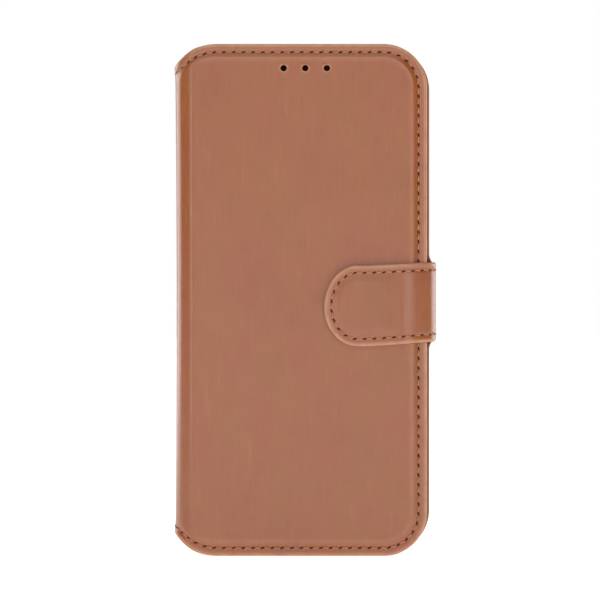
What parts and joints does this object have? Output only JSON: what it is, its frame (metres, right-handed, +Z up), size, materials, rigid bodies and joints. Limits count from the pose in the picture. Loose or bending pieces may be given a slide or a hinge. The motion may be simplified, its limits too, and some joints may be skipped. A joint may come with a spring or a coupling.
{
  "type": "phone wallet case",
  "caption": "Folio wallet case for a phone with a rounded spine, stitched covers, staggered card pockets, a soft tray and a magnetic side strap.",
  "frame": {"origin": "middle of the bounding box at the bottom edge, with the case closed and upright", "axes": "+X across the covers towards the strap, spine at -X; +Y through the thickness towards the back cover; +Z up the covers"},
  "size_m": [0.085, 0.0194, 0.166],
  "materials": {
    "leather": "satin mottled brown leather-look skin",
    "lining": "matt smooth brown lining",
    "pocket": "matt smooth brown lining skin",
    "thread": "tan twisted polyester thread",
    "board": "plain fibre board",
    "stiffener": "thin fibre board",
    "adhesive": "clear sticky film",
    "tray": "satin soft brown plastic",
    "steel": "plain sheet steel",
    "magnet": "nickel plated"
  },
  "bodies": {
    "back_cover": {"back_leather": "leather", "back_board": "board", "back_lining": "lining", "back_thread": "thread", "tray_adhesive": "adhesive", "phone_tray": "tray"},
    "spine": {"spine_leather": "leather", "spine_lining": "lining", "spine_thread": "thread"},
    "front_cover": {"front_leather": "leather", "front_board": "board", "keeper_plate": "steel", "front_lining": "lining", "front_thread": "thread", "note_pocket_panel": "pocket", "card_pocket_inner": "pocket", "card_pocket_middle": "pocket", "card_pocket_outer": "pocket", "pocket_thread": "thread"},
    "strap_side": {"strap_side_leather": "leather", "strap_side_lining": "lining", "strap_side_thread": "thread"},
    "strap_tongue": {"strap_tongue_leather": "leather", "strap_tongue_lining": "lining", "strap_stiffener": "stiffener", "strap_magnet": "magnet", "strap_tongue_thread": "thread"},
    "volume_button": {"volume_button_cover": "tray"},
    "power_button": {"power_button_cover": "tray"}
  },
  "joints": [
    {"name": "spine_back_hinge", "type": "hinge", "parent": "back_cover", "child": "spine", "pos_m": [-0.04077, 0.00792, 0.083], "axis": [0, 0, -1], "range_deg": [0, 180]},
    {"name": "spine_front_hinge", "type": "hinge", "parent": "spine", "child": "front_cover", "pos_m": [-0.04077, -0.00582, 0.083], "axis": [0, 0, -1], "range_deg": [0, 180]},
    {"name": "strap_side_hinge", "type": "hinge", "parent": "back_cover", "child": "strap_side", "pos_m": [0.0427, 0.00485, 0.083], "axis": [0, 0, 1], "range_deg": [0, 180]},
    {"name": "strap_tongue_hinge", "type": "hinge", "parent": "strap_side", "child": "strap_tongue", "pos_m": [0.04083, -0.00772, 0.083], "axis": [0, 0, 1], "range_deg": [0, 90]},
    {"name": "volume_press", "type": "slide", "parent": "back_cover", "child": "volume_button", "axis": [-1, 0, 0], "range_m": [0, 0.0004], "stiffness_N_per_m": 2000},
    {"name": "power_press", "type": "slide", "parent": "back_cover", "child": "power_button", "axis": [-1, 0, 0], "range_m": [0, 0.0004], "stiffness_N_per_m": 2000}
  ]
}
